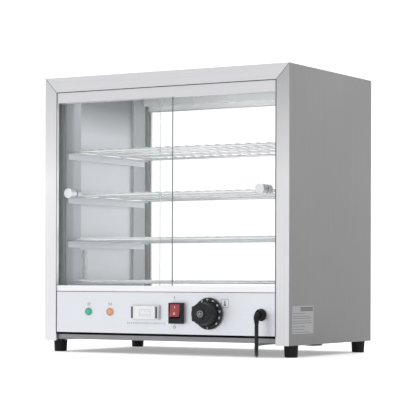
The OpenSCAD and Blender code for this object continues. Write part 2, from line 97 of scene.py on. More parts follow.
def ramp(nt, fac, stops):
    r = nt.nodes.new("ShaderNodeValToRGB")
    while len(r.color_ramp.elements) < len(stops):
        r.color_ramp.elements.new(0.5)
    for el, (p, c) in zip(r.color_ramp.elements, stops):
        el.position = p
        el.color = (*c, 1) if len(c) == 3 else c
    link(nt, fac, r.inputs["Fac"])
    return r.outputs["Color"]


def maprange(nt, fac, lo, hi):
    r = nt.nodes.new("ShaderNodeMapRange")
    r.inputs["To Min"].default_value = lo
    r.inputs["To Max"].default_value = hi
    link(nt, fac, r.inputs["Value"])
    return r.outputs["Result"]


def bump(nt, bs, fac, strength, dist=0.0005):
    b = nt.nodes.new("ShaderNodeBump")
    b.inputs["Strength"].default_value = strength
    b.inputs["Distance"].default_value = dist
    link(nt, fac, b.inputs["Height"])
    link(nt, b.outputs["Normal"], bs.inputs["Normal"])


def steel(name, base, r0, r1, grain, metallic=1.0, var=0.03, strength=0.12, painted_height_tone=None):
    """Brushed sheet: fine streaks along one direction, with slow cloudy variation."""
    mt, nt, bs = new_mat(name)
    vec = {"x": (6, 420, 420), "z": (420, 420, 5), "y": (420, 6, 420)}[grain]
    streak = noise(nt, 1.0, 4.0, 0.6, vec)
    lo = tuple(c * (1 - var) for c in base)
    hi = tuple(min(c * (1 + var), 1) for c in base)
    tone = ramp(nt, streak, [(0.3, lo), (0.7, hi)])
    if painted_height_tone:    # (height in m, factor) pairs: painted shading and reflection, the sheet's tone changes slowly along its height
        geo = nt.nodes.new("ShaderNodeNewGeometry")
        sep = nt.nodes.new("ShaderNodeSeparateXYZ")
        link(nt, geo.outputs["Position"], sep.inputs[0])
        mr = nt.nodes.new("ShaderNodeMapRange")
        mr.inputs["From Max"].default_value = 0.54
        link(nt, sep.outputs["Z"], mr.inputs["Value"])
        mx = nt.nodes.new("ShaderNodeMix"); mx.data_type = "RGBA"; mx.blend_type = "MULTIPLY"
        mx.inputs[0].default_value = 1
        link(nt, tone, mx.inputs[6])
        link(nt, ramp(nt, mr.outputs["Result"], [(h / 0.54, (k, k, k)) for h, k in painted_height_tone]), mx.inputs[7])
        tone = mx.outputs[2]
    link(nt, tone, bs.inputs["Base Color"])
    cloud = noise(nt, 5.0, 2.0)
    link(nt, maprange(nt, cloud, r0, r1), bs.inputs["Roughness"])
    bs.inputs["Metallic"].default_value = metallic
    bump(nt, bs, streak, strength, 0.0002)
    return mt


def plain(name, base, rough, metallic=0.0, var=0.08, scale=60.0, strength=0.05, coat=0.0, edge=0.0, spec=0.5):
    """Moulded or cast: slight mottling in colour and gloss, fine texture."""
    mt, nt, bs = new_mat(name)
    n = noise(nt, scale, 3.0)
    lo = tuple(c * (1 - var) for c in base)
    hi = tuple(min(c * (1 + var), 1) for c in base)
    tone = ramp(nt, n, [(0.3, lo), (0.7, hi)])
    if edge:    # a lens looks deeper in colour where it curves away
        lw = nt.nodes.new("ShaderNodeLayerWeight")
        lw.inputs["Blend"].default_value = 0.5
        mx = nt.nodes.new("ShaderNodeMix"); mx.data_type = "RGBA"; mx.blend_type = "MULTIPLY"
        mx.inputs[0].default_value = 1
        link(nt, tone, mx.inputs[6])
        link(nt, ramp(nt, lw.outputs["Facing"], [(0.15, (1, 1, 1)), (0.75, (edge, edge, edge))]), mx.inputs[7])
        tone = mx.outputs[2]
    link(nt, tone, bs.inputs["Base Color"])
    link(nt, maprange(nt, n, rough * 0.85, min(rough * 1.15, 1)), bs.inputs["Roughness"])
    bs.inputs["Metallic"].default_value = metallic
    bs.inputs["Specular IOR Level"].default_value = spec
    if coat:
        bs.inputs["Coat Weight"].default_value = coat
        bs.inputs["Coat Roughness"].default_value = 0.08
    bump(nt, bs, noise(nt, scale * 12, 2.0), strength, 0.0002)
    return mt


def glass(name, tint, alpha, edge_alpha, edge_col):
    """Clear sheet: nearly see-through faces, denser and greener on the ground edges."""
    mt, nt, bs = new_mat(name)
    geo = nt.nodes.new("ShaderNodeNewGeometry")
    sep = nt.nodes.new("ShaderNodeSeparateXYZ")
    link(nt, geo.outputs["Normal"], sep.inputs[0])
    ab = nt.nodes.new("ShaderNodeMath"); ab.operation = "ABSOLUTE"
    link(nt, sep.outputs["Y"], ab.inputs[0])
    face = nt.nodes.new("ShaderNodeMath"); face.operation = "GREATER_THAN"
    face.inputs[1].default_value = 0.7
    link(nt, ab.outputs[0], face.inputs[0])
    haze = noise(nt, 3.0, 2.0)
    mixc = nt.nodes.new("ShaderNodeMix"); mixc.data_type = "RGBA"
    mixc.inputs[6].default_value = (*edge_col, 1)
    mixc.inputs[7].default_value = (*tint, 1)
    link(nt, face.outputs[0], mixc.inputs[0])
    link(nt, mixc.outputs[2], bs.inputs["Base Color"])
    fr = nt.nodes.new("ShaderNodeFresnel"); fr.inputs["IOR"].default_value = 1.45
    am = nt.nodes.new("ShaderNodeMath"); am.operation = "ADD"
    link(nt, maprange(nt, haze, alpha * 0.8, alpha * 1.2), am.inputs[0])
    link(nt, fr.outputs[0], am.inputs[1])
    mixa = nt.nodes.new("ShaderNodeMix"); mixa.data_type = "FLOAT"
    mixa.inputs[2].default_value = edge_alpha
    link(nt, face.outputs[0], mixa.inputs[0])
    link(nt, am.outputs[0], mixa.inputs[3])
    link(nt, mixa.outputs[0], bs.inputs["Alpha"])
    bs.inputs["Roughness"].default_value = 0.03
    bs.inputs["IOR"].default_value = 1.45
    mt.surface_render_method = "BLENDED"
    return mt


M = {
    "front_steel": steel("front_steel", (0.64, 0.64, 0.66), 0.30, 0.42, "x"),
    # the stiles: their tone along the height is painted shading and reflection, darker near the top
    "stile_steel": steel("stile_steel", (0.80, 0.80, 0.82), 0.30, 0.42, "z", painted_height_tone=((0.05, 0.90), (0.16, 0.91), (0.33, 1.0), (0.42, 0.86), (0.52, 0.74))),
    # the right stile: a darker copy of the stile steel, darker still near the top, painted shade
    "stile_steel_r_shaded": steel("stile_steel_r_shaded", (0.68, 0.68, 0.70), 0.30, 0.42, "z", painted_height_tone=((0.05, 0.90), (0.16, 0.96), (0.33, 1.0), (0.42, 0.84), (0.52, 0.62))),
    "rear_post": steel("rear_post", (0.74, 0.745, 0.76), 0.36, 0.46, "z", 0.35),
    "sill_steel": steel("sill_steel", (0.80, 0.80, 0.82), 0.30, 0.42, "x"),
    # dark steel for the ceiling liner: painted shade under the top
    "ceiling": steel("ceiling", (0.28, 0.30, 0.32), 0.36, 0.46, "x", 0.6),
    # the side sheet: darker towards the bottom, painted shade and reflection
    "side_steel": steel("side_steel", (0.52, 0.52, 0.525), 0.34, 0.46, "z", painted_height_tone=((0.03, 0.50), (0.16, 0.62), (0.32, 0.82), (0.52, 1.0))),
    "panel_steel": steel("panel_steel", (0.68, 0.695, 0.735), 0.36, 0.48, "x", 0.9, 0.012, 0.05),
    # near-black for the partition and terminal block: painted shade in the gap under the control panel
    "inner_painted_shade": plain("inner_painted_shade", (0.03, 0.03, 0.032), 0.6),
    "inner_steel": steel("inner_steel", (0.86, 0.87, 0.90), 0.40, 0.52, "z", 0.3),
    # near-white steel for the rear top channel and the sensor bulb: painted light, so the shaded channel reads bright
    "channel": steel("channel", (0.97, 0.975, 0.98), 0.22, 0.32, "x", 0.15),
    "chrome_wire": plain("chrome_wire", (0.98, 0.98, 0.985), 0.18, 0.6, 0.04, 30, 0.02),
    "polished_metal": plain("polished_metal", (0.70, 0.71, 0.725), 0.30, 0.8, 0.02, 30, 0.02),
    "glass": glass("glass", (0.93, 0.97, 0.97), 0.008, 0.97, (0.16, 0.19, 0.19)),
    # the inner door's pane: the same glass with lighter, clearer edges, painted light
    "glass_inner_lit_edge": glass("glass_inner_lit_edge", (0.93, 0.97, 0.97), 0.008, 0.50, (0.62, 0.68, 0.66)),
    "element_sheath": plain("element_sheath", (0.16, 0.14, 0.13), 0.55, 0.8),
    "copper": plain("copper", (0.55, 0.42, 0.32), 0.35, 1.0),
    "body_plastic": plain("body_plastic", (0.80, 0.78, 0.73), 0.5),
    "black_plastic": plain("black_plastic", (0.012, 0.013, 0.015), 0.38, spec=0.22),
    "white_scale": plain("white_scale", (0.70, 0.71, 0.72), 0.55, 0, 0.02),
    "clear_plastic": glass("clear_plastic", (0.93, 0.95, 0.96), 0.06, 0.25, (0.75, 0.78, 0.80)),
    "red_lens": plain("red_lens", (0.26, 0.012, 0.018), 0.22, 0, 0.1, 40, 0.02, 0.6),
    "green_lens": plain("green_lens", (0.03, 0.40, 0.26), 0.2, 0, 0.1, 40, 0.02, 0.4, 0.12),
    "amber_lens": plain("amber_lens", (0.66, 0.31, 0.15), 0.2, 0, 0.1, 40, 0.02, 0.4, 0.2),
    "black_rubber": plain("black_rubber", (0.008, 0.008, 0.009), 0.5, spec=0.15),
    "lead_pvc": plain("lead_pvc", (0.009, 0.0095, 0.011), 0.42, spec=0.2),
    "plate": plain("plate", (0.37, 0.37, 0.375), 0.5, 0.3, 0.03),
    "print_dark": plain("print_dark", (0.12, 0.125, 0.14), 0.6, 0, 0.05),
    "print_white": plain("print_white", (0.86, 0.86, 0.86), 0.6, 0, 0.03),
    "seam": plain("seam", (0.03, 0.03, 0.032), 0.6, 0, 0.03),
    "print_grey": plain("print_grey", (0.42, 0.43, 0.44), 0.6, 0, 0.03),
    "print_faint": plain("print_faint", (0.30, 0.31, 0.33), 0.6, 0, 0.03),
    "print_plate": plain("print_plate", (0.05, 0.05, 0.055), 0.6, 0, 0.03),
    "print_plate2": plain("print_plate2", (0.15, 0.15, 0.155), 0.6, 0, 0.03),
    "gauge_grey": plain("gauge_grey", (0.60, 0.61, 0.63), 0.35, 0.4, 0.03),
    "dark_recess": plain("dark_recess", (0.07, 0.075, 0.085), 0.5, 0, 0.05),
    "brass_pin": plain("brass_pin", (0.72, 0.56, 0.32), 0.3, 1.0),
}


def lined(name, base):
    """The lining sheet: satin, with painted shade: darker in the strip behind the door post where little light falls,
    and darker towards the top under the front rail.
    """
    mt, nt, bs = new_mat(name)
    geo = nt.nodes.new("ShaderNodeNewGeometry")
    sep = nt.nodes.new("ShaderNodeSeparateXYZ")
    link(nt, geo.outputs["Position"], sep.inputs[0])
    mr = nt.nodes.new("ShaderNodeMapRange")
    mr.inputs["From Min"].default_value = -0.148
    mr.inputs["From Max"].default_value = -0.048
    link(nt, sep.outputs["Y"], mr.inputs["Value"])
    col = ramp(nt, mr.outputs["Result"], [(0.0, (0.20, 0.22, 0.22)), (0.12, (0.24, 0.26, 0.26)), (0.17, (0.30, 0.32, 0.33)), (0.26, (0.40, 0.41, 0.43)), (0.30, base), (1.0, base)])
    mx = nt.nodes.new("ShaderNodeMix"); mx.data_type = "RGBA"; mx.blend_type = "MULTIPLY"
    mx.inputs[0].default_value = 1
    # painted shade: the lining darkens towards the top, under the front rail
    up = nt.nodes.new("ShaderNodeMapRange")
    up.inputs["From Min"].default_value = 0.430
    up.inputs["From Max"].default_value = 0.492
    up.inputs["To Min"].default_value = 1.0
    up.inputs["To Max"].default_value = 0.36
    link(nt, sep.outputs["Z"], up.inputs["Value"])
    dim = nt.nodes.new("ShaderNodeVectorMath"); dim.operation = "SCALE"
    link(nt, col, dim.inputs[0])
    link(nt, up.outputs["Result"], dim.inputs["Scale"])
    link(nt, dim.outputs["Vector"], mx.inputs[6])
    link(nt, ramp(nt, noise(nt, 1.0, 4.0, 0.6, (420, 420, 5)), [(0.3, (0.95, 0.95, 0.95)), (0.7, (1, 1, 1))]), mx.inputs[7])
    link(nt, mx.outputs[2], bs.inputs["Base Color"])
    link(nt, maprange(nt, noise(nt, 5.0, 2.0), 0.38, 0.5), bs.inputs["Roughness"])
    bs.inputs["Metallic"].default_value = 0.3
    return mt


def banded(name, axis, stops, lo, hi, metallic, r0=0.38, r1=0.5):
    """A sheet whose tone depends on the depth, as light only reaches its outer part."""
    mt, nt, bs = new_mat(name)
    geo = nt.nodes.new("ShaderNodeNewGeometry")
    sep = nt.nodes.new("ShaderNodeSeparateXYZ")
    link(nt, geo.outputs["Position"], sep.inputs[0])
    mr = nt.nodes.new("ShaderNodeMapRange")
    mr.inputs["From Min"].default_value = lo
    mr.inputs["From Max"].default_value = hi
    link(nt, sep.outputs[axis], mr.inputs["Value"])
    mx = nt.nodes.new("ShaderNodeMix"); mx.data_type = "RGBA"; mx.blend_type = "MULTIPLY"
    mx.inputs[0].default_value = 1
    link(nt, ramp(nt, mr.outputs["Result"], stops), mx.inputs[6])
    link(nt, ramp(nt, noise(nt, 1.0, 4.0, 0.6, (6, 420, 420)), [(0.3, (0.94, 0.94, 0.94)), (0.7, (1, 1, 1))]), mx.inputs[7])
    link(nt, mx.outputs[2], bs.inputs["Base Color"])
    link(nt, maprange(nt, noise(nt, 5.0, 2.0), r0, r1), bs.inputs["Roughness"])
    bs.inputs["Metallic"].default_value = metallic
    return mt


M["base_steel"] = banded("base_steel", "Y", [(0.0, (0.26, 0.26, 0.27)), (0.47, (0.26, 0.26, 0.27)), (0.50, (0.02, 0.02, 0.02)), (1.0, (0.02, 0.02, 0.02))], -0.151, -0.146, 0.8)
M["liner"] = lined("liner", (0.88, 0.89, 0.92))
M["upright"] = banded("upright", "Y", [(0.0, (0.34, 0.35, 0.36)), (0.06, (0.42, 0.43, 0.45)), (0.10, (0.60, 0.61, 0.635)), (0.17, (0.60, 0.61, 0.635)), (0.80, (0.54, 0.55, 0.575)), (1.0, (0.50, 0.51, 0.53))], -0.122, 0.17, 0.3)
slot_of = {s["node"]: s["material_slot"] for s in frame["record"]["subparts"]}
special = {
    "front_top_rail": "front_steel", "front_fascia": "front_steel", "front_sill": "sill_steel",
    "rear_top_rail": "front_steel", "top_panel": "front_steel", "rear_lower_panel": "front_steel",
    "front_stile_left": "stile_steel", "front_stile_right": "stile_steel_r_shaded",
    "rear_stile_left": "rear_post", "rear_stile_right": "rear_post",
    "side_panel_left": "side_steel", "side_panel_right": "side_steel",
    "control_panel": "panel_steel", "door_right": "glass_inner_lit_edge", "sensor_bulb": "channel", "base_pan": "base_steel", "ceiling_liner": "ceiling", "control_partition": "inner_painted_shade", "terminal_block": "inner_painted_shade",
    "side_liner_left": "liner", "side_liner_right": "liner", "uprights_left": "upright", "uprights_right": "upright",
}
for name, o in frame["nodes"].items():
    key = special.get(name, slot_of[name])
    mt = M.get(key, M["inner_steel"])
    if not o.material_slots:
        o.data.materials.append(mt)
    for s in o.material_slots:
        s.material = mt


# ---------------------------------------------------------------- mesh helpers
def obj_from(name, verts, faces, mat, body, smooth=True, angle=35):
    me = bpy.data.meshes.new(name)
    me.from_pydata([tuple(v) for v in verts], [], faces)
    me.validate()
    bm = bmesh.new(); bm.from_mesh(me)
    bmesh.ops.recalc_face_normals(bm, faces=bm.faces)
    bm.to_mesh(me); bm.free()
    o = bpy.data.objects.new(name, me)
    scene.collection.objects.link(o)
    me.materials.append(M[mat])
    if smooth:
        for p in me.polygons:
            p.use_smooth = True
        me.set_sharp_from_angle(angle=math.radians(angle))
    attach(o, body)
    return o


def frame_axes(axis):
    """Unit vectors (u, v, w) with w along axis."""
    w = Vector(axis).normalized()
    u = Vector((1, 0, 0)) if abs(w.x) < 0.9 else Vector((0, 0, 1))
    u = (u - w * u.dot(w)).normalized()
    return u, w.cross(u), w


def lathe(name, profile, at, axis, mat, body, n=64, radius=None):
    """profile: (r, h) in mm from the axis and along it. radius(r, h, angle) may vary the radius."""
    u, v, w = frame_axes(axis)
    verts, faces = [], []
    for r, h in profile:
        for k in range(n):
            a = 2 * math.pi * k / n
            rr = radius(r, h, a) if radius else r
            verts.append(at + (u * math.cos(a) + v * math.sin(a)) * rr * MM + w * h * MM)
    m_ = len(profile)
    for i in range(m_ - 1):
        for k in range(n):
            a, b = i * n + k, i * n + (k + 1) % n
            faces.append((a, b, b + n, a + n))
    faces.append(tuple(range(n)))
    faces.append(tuple(range((m_ - 1) * n, m_ * n)))
    return obj_from(name, verts, faces, mat, body)


def rbox(name, lo, hi, mat, body, bevel=0.6, seg=3):
    """A box between two points (metres), its edges rounded by bevel mm."""
    bm = bmesh.new()
    bmesh.ops.create_cube(bm, size=1)
    for vtx in bm.verts:
        vtx.co = Vector([(lo[i] + hi[i]) / 2 + vtx.co[i] * (hi[i] - lo[i]) for i in range(3)])
    if bevel:
        bmesh.ops.bevel(bm, geom=bm.edges[:], offset=bevel * MM, segments=seg, profile=0.5, affect="EDGES")
    me = bpy.data.meshes.new(name)
    bm.to_mesh(me); bm.free()
    o = bpy.data.objects.new(name, me)
    scene.collection.objects.link(o)
    me.materials.append(M[mat])
    for p in me.polygons:
        p.use_smooth = True
    me.set_sharp_from_angle(angle=math.radians(40))
    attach(o, body)
    return o


def curve_tube(name, pts, d, mat, body, cyclic=False, res=8):
    cu = bpy.data.curves.new(name, "CURVE")
    cu.dimensions = "3D"
    sp = cu.splines.new("BEZIER")
    sp.bezier_points.add(len(pts) - 1)
    for bp, p in zip(sp.bezier_points, pts):
        bp.co = p
        bp.handle_left_type = bp.handle_right_type = "AUTO"
    sp.use_cyclic_u = cyclic
    cu.resolution_u = res
    cu.bevel_depth = d / 2
    cu.bevel_resolution = 6
    cu.use_fill_caps = True
    o = bpy.data.objects.new(name, cu)
    scene.collection.objects.link(o)
    cu.materials.append(M[mat])
    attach(o, body)
    return o


# ---------------------------------------------------------------- mains lead
lead = [(216.5, -179, 61.5), (216.5, -179, 53), (216.5, -179, 45), (216.2, -178.5, 36),
        (214.8, -176, 24.5), (211.2, -169.6, 13.6), (205.5, -159.2, 6.6), (198, -145.6, 3.9),
        (190, -131, 3.6), (180, -113, 3.6), (168, -91.5, 3.6), (134, -30, 3.6), (100, 31, 3.6),
        (66.5, 92, 3.6), (32.5, 153.5, 3.6), (-1.5, 215, 3.6), (-35, 276, 3.6), (-54, 312, 3.6),
        (-67, 345, 3.6), (-75.5, 379, 3.6), (-80.2, 415, 3.6), (-81.5, 437, 3.6), (-81.5, 455.5, 3.6)]
tail = [(-24, 500.3, 10.6), (-11, 498.6, 10.2), (1.5, 494.6, 9.8), (12, 488.4, 9.6),
        (20.5, 479.5, 9.8), (25.5, 468, 10), (27, 456, 10)]


def ease(a, b, u):
    u = min(max(u, 0.0), 1.0)
    return a + (b - a) * u * u * u * (u * (6 * u - 15) + 10)


def coil_point(t):
    """t in turns, clockwise from the left of the coil: outer and inner turns below, then on top."""
    r1, r2, low, high = 45.0, 37.8, 3.6, 10.8
    if t < 1.0:
        r = ease(r1, r2, (t - 0.76) / 0.24)
    else:
        r = ease(r2, r1, (t - 2.30) / 0.24)
    z = ease(low, high, (t - 1.53) / 0.24)
    a = math.pi - 2 * math.pi * t
    return (-36.5 + r * math.cos(a), 455.5 + r * math.sin(a), z)


turns = 3.25
coil = [coil_point(i * turns / 78) for i in range(1, 79)]
route = [Vector(p) * MM for p in lead + coil + tail]
cord = curve_tube("mains_lead", route, 0.0072, "lead_pvc", "case", res=6)
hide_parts("cord_lead", "cord_coil")


def sampled_length(o):
    dg = bpy.context.evaluated_depsgraph_get()
    total = 0.0
    sp = o.data.splines[0]
    pts = sp.bezier_points
    from mathutils.geometry import interpolate_bezier
    for a, b in zip(pts[:-1], pts[1:]):
        q = interpolate_bezier(a.co, a.handle_right, b.handle_left, b.co, 12)
        total += sum((y - x).length for x, y in zip(q[:-1], q[1:]))
    return total


# the plug: moulded body, tapered sleeve and three flat pins
px, py, pz = 27 * MM, 455.6 * MM, 10 * MM
plug = rbox("plug_body", (px - 0.013, py - 0.054, pz - 0.010), (px + 0.013, py - 0.020, pz + 0.010), "lead_pvc", "case", 3.0, 4)
sleeve = lathe("plug_sleeve", [(3.7, 0), (4.3, 1), (4.4, 4), (3.9, 4.6), (4.7, 5.4), (4.8, 8.4), (4.3, 9), (5.2, 9.8), (5.3, 13), (4.9, 13.6), (6, 15), (6, 20.4)],
               Vector((px, py, pz)), (0, -1, 0), "lead_pvc", "case", 32)
for i, (x, z, w, h) in enumerate(((-6.9, 0, 1.6, 6.4), (6.9, 0, 1.6, 6.4), (0, -7.4, 6.4, 1.6))):
    y1 = 0.073 if i == 2 else 0.071
    rbox("plug_pin_%d" % i, (px + (x - w / 2) * MM, py - y1, pz + (z - h / 2) * MM),
                     (px + (x + w / 2) * MM, py - 0.0535, pz + (z + h / 2) * MM), "brass_pin", "case", 0.3, 2)
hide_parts("mains_plug")
bpy.context.view_layer.update()
LENGTH = sampled_length(cord)

# Prints, dial, gauge and seams
# ---------------------------------------------------------------- bent sleeve at the gland
rel = [(212.5, -166.2, 77.5), (212.7, -170.5, 77.0), (213.8, -175, 74.6), (215.2, -178, 70.4), (216.5, -179, 65.5), (216.5, -179, 61.6)]
sleeve_in = curve_tube("relief_sleeve", [Vector(p) * MM for p in rel], 0.0108, "black_rubber", "case", res=6)
for i, bp in enumerate(sleeve_in.data.splines[0].bezier_points):
    bp.radius = 1.0 - 0.24 * i / 5
bpy.context.view_layer.update()
_ev = sleeve_in.evaluated_get(bpy.context.evaluated_depsgraph_get())
_me = bpy.data.meshes.new_from_object(_ev)
_me.transform(sleeve_in.matrix_world)
_me.materials.clear()
_me.materials.append(M["black_rubber"])
for p in _me.polygons:
    p.use_smooth = True
_me.set_sharp_from_angle(angle=math.radians(50))
bpy.data.objects.remove(sleeve_in)
sleeve_in = bpy.data.objects.new("relief_sleeve", _me)
scene.collection.objects.link(sleeve_in)
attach(sleeve_in, "case")
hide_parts("strain_relief")


def nut_r(r, h, a):
    return r * (1.0 - 0.045 * (0.5 - 0.5 * math.cos(12 * a))) if r > 9.5 and h > 1.2 else r


gl = lathe("gland_nut", [(7.4, -14), (7.4, -0.2), (10.75, 0.0), (11.25, 0.4), (11.25, 1.2), (11.2, 1.4), (11.2, 4.2), (10.8, 5.0), (10.2, 5.5), (9.6, 6.4), (9.3, 8.2), (8.6, 9.4), (7.7, 10.2), (6.9, 10.5), (6.2, 10.5), (5.9, 10.0), (5.6, 8.5)],
           P(212.5, 1, 55.5), (0, -1, 0), "black_rubber", "case", 144, nut_r)
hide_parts("cable_gland")


def join(name, objs, mat=None):
    """Several made meshes as one piece; they ride the same body."""
    base = objs[0]
    bm = bmesh.new()
    inv = base.matrix_world.inverted()
    for o in objs:
        bpy.context.view_layer.update()
        tmp = o.data.copy()
        tmp.transform(inv @ o.matrix_world)
        bm.from_mesh(tmp)
        bpy.data.meshes.remove(tmp)
    bm.to_mesh(base.data)
    bm.free()
    for o in objs[1:]:
        bpy.data.objects.remove(o)
    base.name = name
    return base


def printed(name, txt, size, mat, body, at, right, up, depth=0.00006):
    """Plain figures printed on a surface, as a thin mesh. right and up span the surface."""
    cu = bpy.data.curves.new(name, "FONT")
    cu.body = txt
    cu.size = size * MM
    cu.align_x, cu.align_y = "CENTER", "CENTER"
    cu.extrude = depth
    tmp = bpy.data.objects.new(name + "_t", cu)
    scene.collection.objects.link(tmp)
    bpy.context.view_layer.update()
    me = bpy.data.meshes.new_from_object(tmp.evaluated_get(bpy.context.evaluated_depsgraph_get()))
    bpy.data.objects.remove(tmp)
    r, u_ = Vector(right).normalized(), Vector(up).normalized()
    w = r.cross(u_)
    mx = Matrix(((r.x, u_.x, w.x, at.x), (r.y, u_.y, w.y, at.y), (r.z, u_.z, w.z, at.z), (0, 0, 0, 1)))
    me.transform(mx)
    me.materials.clear()
    me.materials.append(M[mat])
    o = bpy.data.objects.new(name, me)
    scene.collection.objects.link(o)
    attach(o, body)
    return o


def flat_ring(name, cx, cz, r0, r1, y0, y1, mat, body, n=40, gap=0.0):
    """A thin ring facing the front; gap (degrees) leaves it open at the top."""
    verts, faces = [], []
    a0 = math.radians(90 + gap / 2)
    span = math.radians(360 - gap)
    for k in range(n + 1):
        a = a0 + span * k / n
        for r in (r0, r1):
            for y in (y0, y1):
                verts.append(P(cx + r * math.cos(a), y, cz + r * math.sin(a)))
    for k in range(n):
        b, c = 4 * k, 4 * k + 4
        for i, j in ((0, 1), (1, 3), (3, 2), (2, 0)):
            faces.append((b + i, b + j, c + j, c + i))
    if gap:
        faces.append((0, 1, 3, 2)); faces.append((4 * n, 4 * n + 1, 4 * n + 3, 4 * n + 2))
    return obj_from(name, verts, faces, mat, body, False)


# ---------------------------------------------------------------- thermostat dial
DX, DZ = 103.0, 56.5
skirt = lathe("dial_skirt", [(3, -24), (3, 1.0), (28.4, 1.0), (29.3, 1.4), (29.7, 2.2), (29.7, 3.2), (29.4, 4.0), (28.2, 4.9), (26, 5.1), (23.4, 5.3), (22, 5.4), (12, 5.6)],
              P(DX, 0, DZ), (0, -1, 0), "black_plastic", "dial", 96)


def grip_r(r, h, a):
    """Round grip with a flat-sided thumb lobe towards -X."""
    t = max(0.0, min(1.0, (h - 5) / 26))
    c, s = math.cos(a), math.sin(a)
    base = r
    if c >= -0.15 or h > 31.4:
        return base
    lim = 21.8 - 2.4 * t
    half = 15.2 - 0.8 * t
    k = 12
    lobe = ((abs(c) / lim) ** k + (abs(s) / half) ** k) ** (-1 / k)
    edge = 1.0 if h < 30 else max(0.0, 1 - (h - 30) / 1.4 * 0.12)
    lobe *= edge
    return max(base, lobe)


grip = lathe("dial_grip", [(22.6, 5.0), (22.8, 6.0), (22.3, 8), (21.7, 14), (21.1, 20), (20.6, 26), (20.3, 29.6), (19.8, 30.8), (18.8, 31.6), (17.0, 32.0), (12.0, 32.1), (10.9, 31.9), (10.7, 31.2), (10.1, 31.2), (9.9, 32.4), (9.3, 32.9), (8.4, 33.0), (2, 33.0)],
             P(DX, 0, DZ), (0, -1, 0), "black_plastic", "dial", 144, grip_r)
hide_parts("thermostat_dial")
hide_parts("thermostat_dial")
figs = []
for i, n_ in enumerate((30, 40, 50, 60, 70, 80, 90)):
    a = math.radians(118 - 27.0 * i)
    rr = 26.0
    out = Vector((math.cos(a), 0, math.sin(a)))
    figs.append(printed("dial_fig_%d" % n_, str(n_), 4.4, "print_white", "dial", P(DX + rr * out.x, -5.2, DZ + rr * out.z),
                        (out.z, 0, -out.x), (out.x, 0, out.z)))
mark = rbox("dial_mark", tuple(P(DX - 1.0, -5.3, DZ - 28.2)), tuple(P(DX - 0.1, -5.0, DZ - 24.8)), "print_white", "dial", 0)
figs.append(mark)
join("dial_figures", figs)
ring = flat_ring("dial_cap_ring", DX, DZ, 5.2, 6.0, -33.04, -32.9, "print_grey", "dial")
bar = rbox("dial_cap_bar", tuple(P(DX - 0.5, -33.04, DZ - 3.4)), tuple(P(DX + 0.5, -32.9, DZ + 3.4)), "print_grey", "dial", 0)
bar2 = rbox("dial_cap_dots", tuple(P(DX - 3.0, -33.04, DZ - 1.8)), tuple(P(DX - 2.0, -32.9, DZ + 1.8)), "print_grey", "dial", 0)
bar3 = rbox("dial_cap_dot3", tuple(P(DX + 2.0, -33.04, DZ - 1.8)), tuple(P(DX + 3.0, -32.9, DZ + 1.8)), "print_grey", "dial", 0)
join("dial_cap_print", [ring, bar, bar2, bar3])

# ---------------------------------------------------------------- rocker
SX, SZ = 34.5, 60.4
prof = [(-9.4, -11.9), (-8.2, 0), (-9.4, 11.9), (2, 11.4), (5.6, 5), (5.6, -5), (2, -11.4)]
tilt = Matrix.Translation(P(SX, -2, SZ)) @ Matrix.Rotation(math.radians(-9), 4, "X")
bm = bmesh.new()
left = [bm.verts.new((-10.5 * MM, y * MM, z * MM)) for y, z in prof]
right = [bm.verts.new((10.5 * MM, y * MM, z * MM)) for y, z in prof]
bm.faces.new(left); bm.faces.new(right[::-1])
for i in range(len(prof)):
    j = (i + 1) % len(prof)
    bm.faces.new((left[i], left[j], right[j], right[i]))
bmesh.ops.recalc_face_normals(bm, faces=bm.faces)
bmesh.ops.bevel(bm, geom=bm.edges[:], offset=0.7 * MM, segments=3, profile=0.5, affect="EDGES")
me = bpy.data.meshes.new("rocker_lens")
bm.to_mesh(me); bm.free()
me.transform(tilt)
me.materials.append(M["red_lens"])
for p in me.polygons:
    p.use_smooth = True
me.set_sharp_from_angle(angle=math.radians(40))
rocker = bpy.data.objects.new("rocker_lens", me)
scene.collection.objects.link(rocker)
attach(rocker, "rocker")
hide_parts("switch_rocker")


def on_rocker(o):
    o.parent = None
    o.data.transform(tilt)
    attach(o, "rocker")
    return o


def raw_box(name, lo, hi, mat):
    me_ = bpy.data.meshes.new(name)
    b = bmesh.new()
    bmesh.ops.create_cube(b, size=1)
    for v_ in b.verts:
        v_.co = Vector([((lo[i] + hi[i]) / 2 + v_.co[i] * (hi[i] - lo[i])) * MM for i in range(3)])
    b.to_mesh(me_); b.free()
    me_.materials.append(M[mat])
    o = bpy.data.objects.new(name, me_)
    scene.collection.objects.link(o)
    return o


stroke = raw_box("rocker_on", (-0.35, -9.0, 4.2), (0.35, -8.68, 8.2), "print_white")
stroke.data.transform(Matrix.Rotation(math.radians(0), 4, "X"))
stroke = on_rocker(stroke)
verts, faces, n = [], [], 32
for k in range(n):
    a = 2 * math.pi * k / n
    for r in (1.3, 1.95):
        for y in (-9.0, -8.6):
            verts.append(Vector((r * math.cos(a), y, -6.2 + r * 1.05 * math.sin(a))) * MM)
for k in range(n):
    b, c = 4 * k, 4 * ((k + 1) % n)
    for i, j in ((0, 1), (1, 3), (3, 2), (2, 0)):
        faces.append((b + i, b + j, c + j, c + i))
me = bpy.data.meshes.new("rocker_off")
me.from_pydata([tuple(v) for v in verts], [], faces)
me.materials.append(M["print_white"])
oo = bpy.data.objects.new("rocker_off", me)
scene.collection.objects.link(oo)
oo = on_rocker(oo)
join("rocker_marks", [stroke, oo])

